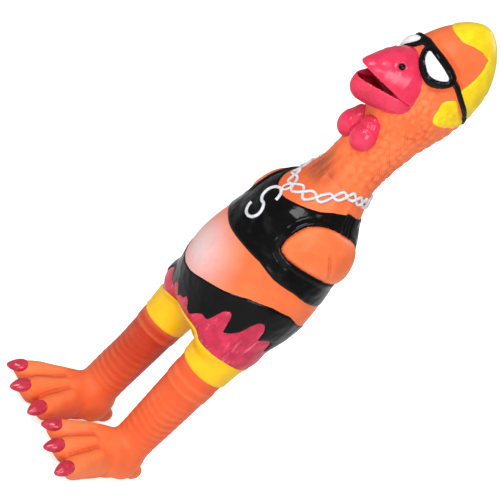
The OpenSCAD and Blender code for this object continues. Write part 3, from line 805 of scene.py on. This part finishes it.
def wattle_form(side):
    """A lobe under a grained stem; the right one hangs lower."""
    sign, drop = (1 if side == "left" else -1), WATTLE_DROP[side]
    x, y, z = LOBE_AT
    lobe = ball(point_at(sign * (x - drop / 3), y, z - drop), LOBE_HALF, sign * LOBE_TURN)
    x, y, z = STEM_AT
    stem = ball(point_at(sign * x, y, z - drop), STEM_HALF, sign * STEM_TURN)
    wattle = softened(joined(side + "_wattle_lobe", [lobe, stem]), 0.7, 8)
    co, n = points_of(wattle), points_of(wattle, "normal")
    grains = pebbles(co, WATTLE_GRAIN) * ease((co[:, 2] / MM - GRAINED_FROM + drop) / 8)
    move_points(wattle, co + n * grains[:, None] * 0.4 * MM)
    return wattle


# Chain and pendant

CHAIN_LOOPS, CHAIN_STEPS, CHAIN_LIFT = 20, 360, 0.45
STRAND_HALF, SCROLL_HALF, LOOP_HALF = 1.1, 1.25, 0.8
SCROLL_R, SCROLL_Z = 7.4, 241.5
LOOP_Z = 259.5


def laid_on_skin(name, skin_tree, path, half, high, closed=False):
    """A round wire laid on the skin along (angle, height, lift) points."""
    curve = bpy.data.curves.new(name, "CURVE")
    curve.dimensions = "3D"
    curve.bevel_depth = half * MM
    curve.bevel_resolution = 2
    line = curve.splines.new("POLY")
    line.points.add(len(path) - 1)
    line.use_cyclic_u = closed
    for p, (a, z, lift) in zip(line.points, path):
        middle = Vector(point_at(0, -float(lean(z)), z))
        out = Vector((math.sin(math.radians(a)), -math.cos(math.radians(a)), 0))
        place, normal, _, _ = skin_tree.ray_cast(middle + out * 0.12, -out)
        p.co = (*(place + normal * (lift + high) * MM), 1)
    piece = bpy.data.objects.new(name, curve)
    bpy.context.collection.objects.link(piece)
    pick(piece)
    bpy.ops.object.convert(target="MESH")
    return bpy.context.object


def chain_form(tree):
    """Two strands that wave across each other and pass over and under."""
    strands = []
    for over in (1, -1):
        path = []
        for i in range(CHAIN_STEPS):
            a = 360 * i / CHAIN_STEPS - 180
            wave = math.radians(a * CHAIN_LOOPS / 2)
            swing = 3.3 + 0.7 * math.sin(math.radians(a * 3))
            height = float(chain_line(a)) + over * swing * math.sin(wave)
            path.append((a, height, CHAIN_LIFT + over * CHAIN_LIFT * math.cos(wave)))
        strands.append(laid_on_skin("strand", tree, path, STRAND_HALF, 0.35, closed=True))
    return joined("silver_chain", strands)


def arc(middle, half_wide, half_high, turns, lift):
    """Points of an arc on the front of the chest round a height, as (angle, height, lift)."""
    return [(half_wide * math.cos(math.radians(turn)) / CHEST_DEGREE,
             middle + half_high * math.sin(math.radians(turn)), lift) for turn in turns]


def pendant_form(tree):
    """An S-shaped scroll under a small loop on the chain."""
    wide, rise = SCROLL_R * 0.9, SCROLL_R * 0.95
    scroll = arc(SCROLL_Z + rise, wide, SCROLL_R, range(10, 275, 12), 0.5)
    scroll += arc(SCROLL_Z - rise, wide, SCROLL_R, range(78, -175, -12), 0.5)
    ring = arc(LOOP_Z, 2.6, 2.8, range(0, 360, 20), 0.6)
    return joined("silver_pendant", [
        laid_on_skin("scroll", tree, scroll, SCROLL_HALF, 0.5),
        laid_on_skin("loop", tree, ring, LOOP_HALF, 0.4, closed=True)])


# Building the pieces

HEAD_LOW, TRUNK_LOW, TRUNK_TOP = 340, 100, 300
NECK_CUT, KNEE_CUT, LEG_TOP = 301.5, 70, 124
FRINGE_LOW = 118
CUFF_LOW = {"left": 115.5, "right": 106}
HEAD_WALL, BODY_WALL, FRINGE_WALL = 2.2, 2.0, 1.8

skin = whole_skin()
mould_relief(skin)
mark_creases(skin)
tree = BVHTree.FromObject(skin, bpy.context.evaluated_depsgraph_get())
head = part_of(skin, "head_zone", lambda a, z, co: z - HEAD_LOW)
trunk = part_of(skin, "trunk_zone", lambda a, z, co: between(z, TRUNK_LOW, TRUNK_TOP))

# Each skin runs on a little under the paint next to it
head_skin = backed(part_of(skin, "head_skin", lambda a, z, co: z - NECK_CUT), HEAD_WALL)
neck_skin = backed(part_of(skin, "neck_skin",
                           lambda a, z, co: between(z, neckline(a) - 6, NECK_CUT)), HEAD_WALL)
belly_skin = backed(part_of(trunk, "belly_skin",
                            lambda a, z, co: between(z, waist(a) - 12, hem(a) + 18)), BODY_WALL)
fringe = backed(part_of(trunk, "pink_fringe",
                        lambda a, z, co: between(z, FRINGE_LOW, waist(a) - 4)), FRINGE_WALL)
tank_top = raised(trunk, "black_tank_top", tank_area, lift=0.9)
shorts = raised(trunk, "black_shorts", shorts_area, lift=0.7)
hair = raised(head, "yellow_hair", hair_area, lift=0.8)
sideburns = {side: raised(head, side + "_sideburn_patch",
                          one_side(side, lambda a, z, co: sideburn(a, z)), lift=0.8)
             for side in SIDES}
glasses = raised(head, "glasses_frame", glasses_area, lift=1.6, soft=1.4)
lenses = {side: raised(head, side + "_white_lens", one_side(side, lens_area), lift=0.4)
          for side in SIDES}
wings, cuffs, legs, feet, wattles, claws = {}, {}, {}, {}, {}, {}
for side in SIDES:
    wings[side] = backed(part_of(trunk, side + "_wing_skin", one_side(side, wing_area)), BODY_WALL)
    cuff_area = one_side(side, lambda a, z, co: between(z, CUFF_LOW[side], cuff_top(a)), 0.2)
    cuffs[side] = raised(trunk, side + "_yellow_cuff", cuff_area, lift=0.9)
    leg_area = one_side(side, lambda a, z, co: between(z, KNEE_CUT, LEG_TOP))
    legs[side] = backed(part_of(skin, side + "_leg_skin", leg_area), BODY_WALL)
    foot_area = one_side(side, lambda a, z, co: KNEE_CUT - z)
    feet[side] = backed(part_of(skin, side + "_foot_skin", foot_area), BODY_WALL)
    wattles[side] = wattle_form(side)
    claws[side] = claws_form(side)
upper_beak, lower_beak = upper_beak_form(), lower_beak_form()
lining = raised(head, "mouth_lining", lining_area, lift=0.6)
chain, pendant = chain_form(tree), pendant_form(tree)


# Finishes

class Finish:
    """A latex or paint finish whose colour, gloss and grain come from nodes in object space."""

    def __init__(self, name, rough, gloss):
        self.paint = bpy.data.materials.new(name)
        self.paint.use_nodes = True
        self.nodes, self.links = self.paint.node_tree.nodes, self.paint.node_tree.links
        self.shader = self.nodes["Principled BSDF"]
        self.shader.inputs["Specular IOR Level"].default_value = gloss
        self.rough = rough
        self.place = self.nodes.new("ShaderNodeTexCoord").outputs["Object"]

    def set(self, socket, value):
        if hasattr(value, "is_output"):
            self.links.new(value, socket)
        else:
            socket.default_value = value

    def noise(self, size, detail=3.0, stretch=(1, 1, 1)):
        """Noise with features of a size in millimetres, stretched along the axes."""
        turn = self.nodes.new("ShaderNodeMapping")
        turn.inputs["Scale"].default_value = [1 / (s * size * MM) for s in stretch]
        self.links.new(self.place, turn.inputs["Vector"])
        node = self.nodes.new("ShaderNodeTexNoise")
        node.inputs["Scale"].default_value = 1.0
        node.inputs["Detail"].default_value = detail
        self.links.new(turn.outputs["Vector"], node.inputs["Vector"])
        return node.outputs["Fac"]

    def range(self, value, low, high, to_low=0.0, to_high=1.0):
        node = self.nodes.new("ShaderNodeMapRange")
        node.interpolation_type = "SMOOTHSTEP"
        for socket, v in zip(node.inputs, (value, low, high, to_low, to_high)):
            self.set(socket, v)
        return node.outputs["Result"]

    def times(self, a, b):
        node = self.nodes.new("ShaderNodeMath")
        node.operation = "MULTIPLY"
        self.set(node.inputs[0], a)
        self.set(node.inputs[1], b)
        return node.outputs[0]

    def kept(self, name):
        """A value stored for each point."""
        node = self.nodes.new("ShaderNodeAttribute")
        node.attribute_name = name
        return node.outputs["Fac"]

    def height(self, low, high):
        """Nought below one height and one above another, or the other way round."""
        parts = self.nodes.new("ShaderNodeSeparateXYZ")
        self.links.new(self.place, parts.inputs[0])
        return self.range(parts.outputs["Z"], low * MM, high * MM)

    def near(self, point, reach, squeeze=(1, 1, 1)):
        """One at a point in metres, falling to nought at a reach in millimetres."""
        shift = self.nodes.new("ShaderNodeMapping")
        shift.vector_type = "POINT"
        shift.inputs["Location"].default_value = [-p * s for p, s in zip(point, squeeze)]
        shift.inputs["Scale"].default_value = squeeze
        self.links.new(self.place, shift.inputs["Vector"])
        far = self.nodes.new("ShaderNodeVectorMath")
        far.operation = "LENGTH"
        self.links.new(shift.outputs["Vector"], far.inputs[0])
        return self.range(far.outputs["Value"], reach * MM, 0.0)

    def mix(self, share, under, over):
        node = self.nodes.new("ShaderNodeMix")
        node.data_type = "RGBA"
        self.set(node.inputs["Factor"], share)
        for socket, colour in ((node.inputs["A"], under), (node.inputs["B"], over)):
            self.set(socket, (*colour, 1) if isinstance(colour, tuple) else colour)
        return node.outputs["Result"]

    def wash(self, under, area, strength, over):
        """A colour laid over another one in an area."""
        return self.mix(self.times(area, strength), under, over)

    def mottled(self, size, dark, light, low=0.35, high=0.65):
        """Two colours in patches of a size in millimetres."""
        return self.mix(self.range(self.noise(size), low, high), dark, light)

    def bump(self, size, detail, depth):
        node = self.nodes.new("ShaderNodeBump")
        node.inputs["Strength"].default_value = 1.0
        node.inputs["Distance"].default_value = depth * MM
        self.links.new(self.noise(size, detail), node.inputs["Height"])
        return node

    def done(self, colour, grain, grain_size, dent=0.0, dent_size=8.0):
        """Ties the colour, a gloss that varies, and a bump of fine grain and broad dents."""
        self.links.new(colour, self.shader.inputs["Base Color"])
        patchy = self.range(self.noise(14.0, 2.0), 0.3, 0.7, self.rough - 0.06, self.rough + 0.06)
        self.links.new(patchy, self.shader.inputs["Roughness"])
        fine = self.bump(grain_size, 4.0, grain)
        if dent:
            broad = self.bump(dent_size, 1.0, dent)
            self.links.new(broad.outputs["Normal"], fine.inputs["Normal"])
        self.links.new(fine.outputs["Normal"], self.shader.inputs["Normal"])
        return self.paint


def orange_latex():
    """Orange with redder legs, painted shade between the legs, on the far leg and in hollows, a
    painted highlight on crests, an airbrushed belly and a dark streaked patch at the throat.
    """
    f = Finish("orange_latex", 0.42, 0.22)
    colour = f.mottled(30.0, (0.9, 0.15, 0.042), (0.96, 0.2, 0.062))
    shins = f.times(f.height(134, 112), f.height(26, 56))
    colour = f.wash(colour, shins, 0.8, (0.78, 0.095, 0.028))
    # painted shade: darker red between the legs, where they shade each other
    shade_between_legs = f.near(point_at(-6, 0, 108), 42, (1, 1, 0.8))
    colour = f.wash(colour, shade_between_legs, 0.7, (0.5, 0.035, 0.012))
    # painted shadow: the far leg darkened near its top
    far_leg_shade = f.near(leg_place("right", height=86), 58, (1, 1, 0.8))
    colour = f.wash(colour, far_leg_shade, 0.95, (0.44, 0.022, 0.008))
    # painted shade darkens the hollows, and a painted highlight lightens the crests of the grains,
    # rings and folds
    hollow_shade = f.range(f.kept("crease"), 0.0, 0.6)
    colour = f.wash(colour, hollow_shade, 0.45, (0.55, 0.04, 0.013))
    crest_highlight = f.range(f.kept("crease"), -0.1, -0.8, 0.0, 0.3)
    colour = f.mix(crest_highlight, colour, (0.98, 0.3, 0.1))
    airbrush = f.near(point_at(-8, -52, 184), 48, (0.95, 0.95, 1.1))
    specks = f.range(f.noise(2.5, 2.0), 0.1, 0.6, 0.8, 1.0)
    colour = f.wash(colour, airbrush, specks, (0.84, 0.6, 0.61))
    # a dark brown streaked patch on the front of the lower neck
    throat_dark_patch = f.near(point_at(0, -25, 286), 19, (0.9, 0.9, 0.8))
    streaks = f.range(f.noise(4.0, 2.0, (1, 1, 4)), 0.25, 0.65, 0.35, 0.8)
    colour = f.wash(colour, throat_dark_patch, streaks, (0.12, 0.035, 0.025))
    return f.done(colour, 0.05, 0.8, 0.5, 9.0)


def black_paint():
    f = Finish("black_paint", 0.15, 0.17)
    colour = f.mottled(9.0, (0.0015, 0.0015, 0.002), (0.003, 0.003, 0.0035), 0.4, 0.7)
    return f.done(colour, 0.03, 0.9, 1.3, 11.0)


def pink_paint():
    """Pink, with painted shade under the lower beak, and a dark mouth and nostrils."""
    f = Finish("pink_paint", 0.22, 0.36)
    colour = f.mottled(8.0, (0.72, 0.027, 0.08), (0.82, 0.038, 0.105))
    # painted shade: the lower beak and chin darker than the upper beak
    chin_shade = f.near(point_at(0, -44, 348), 26)
    colour = f.wash(colour, chin_shade, 0.9, (0.5, 0.016, 0.045))
    colour = f.mix(f.kept("mouth"), colour, (0.28, 0.003, 0.007))
    colour = f.mix(f.kept("nostril"), colour, (0.004, 0.003, 0.003))
    return f.done(colour, 0.03, 0.8, 0.3, 7.0)


def flame_paint():
    """Deep pink with pale brush strokes, thinner on the chicken's right."""
    f = Finish("flame_paint", 0.34, 0.3)
    colour = f.mottled(8.0, (0.5, 0.02, 0.06), (0.68, 0.032, 0.09))
    strokes = f.range(f.noise(3.2, 3.0, (1, 1, 5)), 0.58, 0.74, 0.0, 0.55)
    colour = f.mix(strokes, colour, (0.86, 0.3, 0.4))
    thin = f.near(point_at(-44, -20, 146), 36)
    bristles = f.range(f.noise(4.0, 3.0, (1, 1, 3)), 0.35, 0.65)
    colour = f.wash(colour, thin, bristles, (0.85, 0.34, 0.4))
    return f.done(colour, 0.03, 0.8, 0.3, 7.0)


def yellow_paint():
    """Yellow, warmer on the cuffs and pale where they meet between the legs."""
    f = Finish("yellow_paint", 0.38, 0.25)
    colour = f.mottled(12.0, (0.92, 0.6, 0.006), (0.97, 0.72, 0.012))
    colour = f.wash(colour, f.height(160, 140), 0.7, (0.9, 0.5, 0.008))
    # paler yellow where the cuffs meet between the legs
    crotch_pale = f.near(point_at(-3, -8, 131), 17)
    colour = f.wash(colour, crotch_pale, 0.6, (0.9, 0.76, 0.4))
    return f.done(colour, 0.03, 0.9, 0.3, 8.0)


def plain(name, rough, gloss, size, dark, light, *grain, metal=0.0):
    """A finish of two mottled colours."""
    f = Finish(name, rough, gloss)
    f.shader.inputs["Metallic"].default_value = metal
    return f.done(f.mottled(size, dark, light), *grain)


ORANGE, BLACK, PINK, FLAME = orange_latex(), black_paint(), pink_paint(), flame_paint()
YELLOW = yellow_paint()
WHITE = plain("white_paint", 0.4, 0.4, 7.0, (0.84, 0.82, 0.85), (0.92, 0.91, 0.93),
              0.02, 0.7, 0.2, 6.0)
SILVER = plain("silver_paint", 0.42, 0.5, 4.0, (0.58, 0.6, 0.64), (0.78, 0.79, 0.82),
               0.03, 0.6, 0.15, 4.0)
PLASTIC = plain("sounder_plastic", 0.45, 0.5, 6.0, (0.7, 0.66, 0.54), (0.8, 0.76, 0.64), 0.02, 0.6)
BRASS = plain("reed_brass", 0.3, 0.5, 3.0, (0.55, 0.36, 0.1), (0.68, 0.47, 0.16), 0.01, 0.5,
              metal=1.0)
MAROON = plain("mouth_paint", 0.4, 0.3, 6.0, (0.24, 0.003, 0.006), (0.32, 0.004, 0.009), 0.03, 0.8)
CLAW = plain("claw_paint", 0.25, 0.5, 5.0, (0.5, 0.02, 0.05), (0.64, 0.03, 0.07),
             0.03, 0.8, 0.3, 5.0)


# What moves with what

def coat(piece, paint):
    piece.data.materials.clear()
    piece.data.materials.append(paint)


def dress(piece, paint, slot, body, *nodes, bend=None):
    """Paints a piece and lets it ride a body; given a bend, only bakes its place into its points
    and leaves it on no body. Hides the CAD nodes that it replaces.
    """
    coat(piece, paint)
    if bend:
        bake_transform(piece)
    else:
        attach(piece, body)
    if nodes:
        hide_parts(*nodes)


dress(neck_skin, ORANGE, "orange_skin", "torso", "collar", "lower_neck_sleeve", "neck_ring",
      bend=("neck", point_at(0, 0, 288), point_at(0, 0, 300)))
dress(head_skin, ORANGE, "orange_skin", "neck", "upper_neck_sleeve", "face",
      bend=("head", point_at(0, 0, 303), point_at(0, 0, 315)))
dress(belly_skin, ORANGE, "orange_skin", "torso", "belly_band", "belly_panel",
      bend=("belly", point_at(0, -8, 190), point_at(0, -46, 190)))
dress(tank_top, BLACK, "black_paint", "torso", "tank_top")
dress(shorts, BLACK, "black_paint", "torso", "shorts")
dress(fringe, FLAME, "pink_paint", "torso", "fringe")
dress(chain, SILVER, "silver_paint", "torso", "chain")
dress(pendant, SILVER, "silver_paint", "torso", "pendant")
dress(hair, YELLOW, "yellow_paint", "head", "hair")
dress(glasses, BLACK, "black_paint", "head", "glasses")
dress(upper_beak, PINK, "pink_paint", "head", "upper_beak")
dress(lower_beak, PINK, "pink_paint", "head", "lower_beak",
      bend=("jaw", point_at(0, -30, 365), point_at(0, -45, 362)))
dress(lining, MAROON, "pink_paint", "head")
for side in SIDES:
    dress(wings[side], ORANGE, "orange_skin", "torso", side + "_wing")
    dress(cuffs[side], YELLOW, "yellow_paint", "torso", side + "_cuff")
    dress(sideburns[side], YELLOW, "yellow_paint", "head", side + "_sideburn")
    dress(lenses[side], WHITE, "white_paint", "head", side + "_lens")
    dress(wattles[side], PINK, "pink_paint", "head", side + "_wattle")
    dress(legs[side], ORANGE, "orange_skin", "torso", side + "_hip_sleeve", side + "_shin",
          bend=(side + "_leg", leg_place(side, height=110), leg_place(side, height=84)))
    dress(feet[side], ORANGE, "orange_skin", side + "_leg", side + "_ankle_sleeve", side + "_foot",
          bend=(side + "_foot_group", leg_place(side, height=55), leg_place(side, height=33)))
    dress(claws[side], CLAW, "pink_paint", side + "_foot_group", side + "_claws")
for node in ("sounder_tube", "reed_plate", "sounder_cap"):
    coat(bpy.data.objects[node], PLASTIC)
coat(bpy.data.objects["reed"], BRASS)
for zone in (skin, head, trunk):
    bpy.data.objects.remove(zone)


# Stage, light and camera, in metres and watts

FLOOR_GLOW, SKY_LIGHT = 0.66, 0.36
CAMERA_TURNS = (48, 20, 44)  # degrees round from the beak, up, and rolled
CAMERA_AIM_Z, CAMERA_FAR, CAMERA_LENS = 219, 1.6, 160.7
CAMERA_LEFT, CAMERA_DOWN = 0.0244, 0.0037


def stage():
    """A pale floor that glows for the camera only, so that it keeps the shadow."""
    clear()
    bpy.ops.mesh.primitive_plane_add(size=12, location=(0, 0, -0.0005))
    floor = named(bpy.context.object, "floor")
    settle()
    pale = bpy.data.materials.new("pale_floor")
    pale.use_nodes = True
    nodes, links = pale.node_tree.nodes, pale.node_tree.links
    shader = nodes["Principled BSDF"]
    shader.inputs["Base Color"].default_value = (0.9, 0.9, 0.9, 1)
    shader.inputs["Roughness"].default_value = 1.0
    shader.inputs["Specular IOR Level"].default_value = 0.0
    shader.inputs["Emission Color"].default_value = (1, 1, 1, 1)
    rays = nodes.new("ShaderNodeLightPath")
    seen = nodes.new("ShaderNodeMath")
    seen.operation = "MULTIPLY"
    seen.inputs[1].default_value = FLOOR_GLOW
    links.new(rays.outputs["Is Camera Ray"], seen.inputs[0])
    links.new(seen.outputs[0], shader.inputs["Emission Strength"])
    floor.data.materials.append(pale)


def sky():
    """A soft light from all round, white behind the toy."""
    world = bpy.data.worlds.new("studio")
    bpy.context.scene.world = world
    world.use_nodes = True
    nodes, links = world.node_tree.nodes, world.node_tree.links
    light = nodes["Background"]
    light.inputs["Color"].default_value = (1, 1, 1, 1)
    light.inputs["Strength"].default_value = SKY_LIGHT
    white = nodes.new("ShaderNodeBackground")
    white.inputs["Color"].default_value = (1, 1, 1, 1)
    rays = nodes.new("ShaderNodeLightPath")
    mix = nodes.new("ShaderNodeMixShader")
    links.new(rays.outputs["Is Camera Ray"], mix.inputs["Fac"])
    links.new(light.outputs[0], mix.inputs[1])
    links.new(white.outputs[0], mix.inputs[2])
    links.new(mix.outputs[0], nodes["World Output"].inputs["Surface"])


def lamp(name, place, aim, size, power):
    bpy.ops.object.light_add(type="AREA", location=place)
    light = named(bpy.context.object, name)
    light.data.shape = "DISK"
    light.data.size = size
    light.data.energy = power
    light.rotation_euler = (Vector(aim) - Vector(place)).to_track_quat("-Z", "Y").to_euler()


def photo_camera():
    """The photograph's view: from the front left and above, rolled so that the toy lies across."""
    away, up, roll = (math.radians(turn) for turn in CAMERA_TURNS)
    out = Vector((math.sin(away) * math.cos(up), -math.cos(away) * math.cos(up), math.sin(up)))
    right = Vector((math.cos(away), math.sin(away), 0))
    top = out.cross(right)
    cam_x = right * math.cos(roll) + top * math.sin(roll)
    cam_y = top * math.cos(roll) - right * math.sin(roll)
    aim = Vector(point_at(0, 0, CAMERA_AIM_Z))
    place = aim + CAMERA_FAR * out - cam_x * CAMERA_LEFT - cam_y * CAMERA_DOWN
    data = bpy.data.cameras.new("photo_camera")
    data.sensor_width = 36
    data.lens = CAMERA_LENS
    camera = bpy.data.objects.new("photo_camera", data)
    bpy.context.collection.objects.link(camera)
    turn = Matrix((cam_x, cam_y, out)).transposed()
    camera.matrix_world = Matrix.Translation(place) @ turn.to_4x4()
    bpy.context.scene.camera = camera


stage()
sky()
lamp("key", (0.53, -1.7, 1.45), (0, 0, 0.22), 0.9, 23)
lamp("fill", (1.7, -0.7, 0.9), (0, 0, 0.22), 1.0, 16)
lamp("back", (-0.6, 1.5, 1.4), (0, 0, 0.25), 1.0, 10)
photo_camera()
bpy.context.scene.view_settings.view_transform = "Standard"
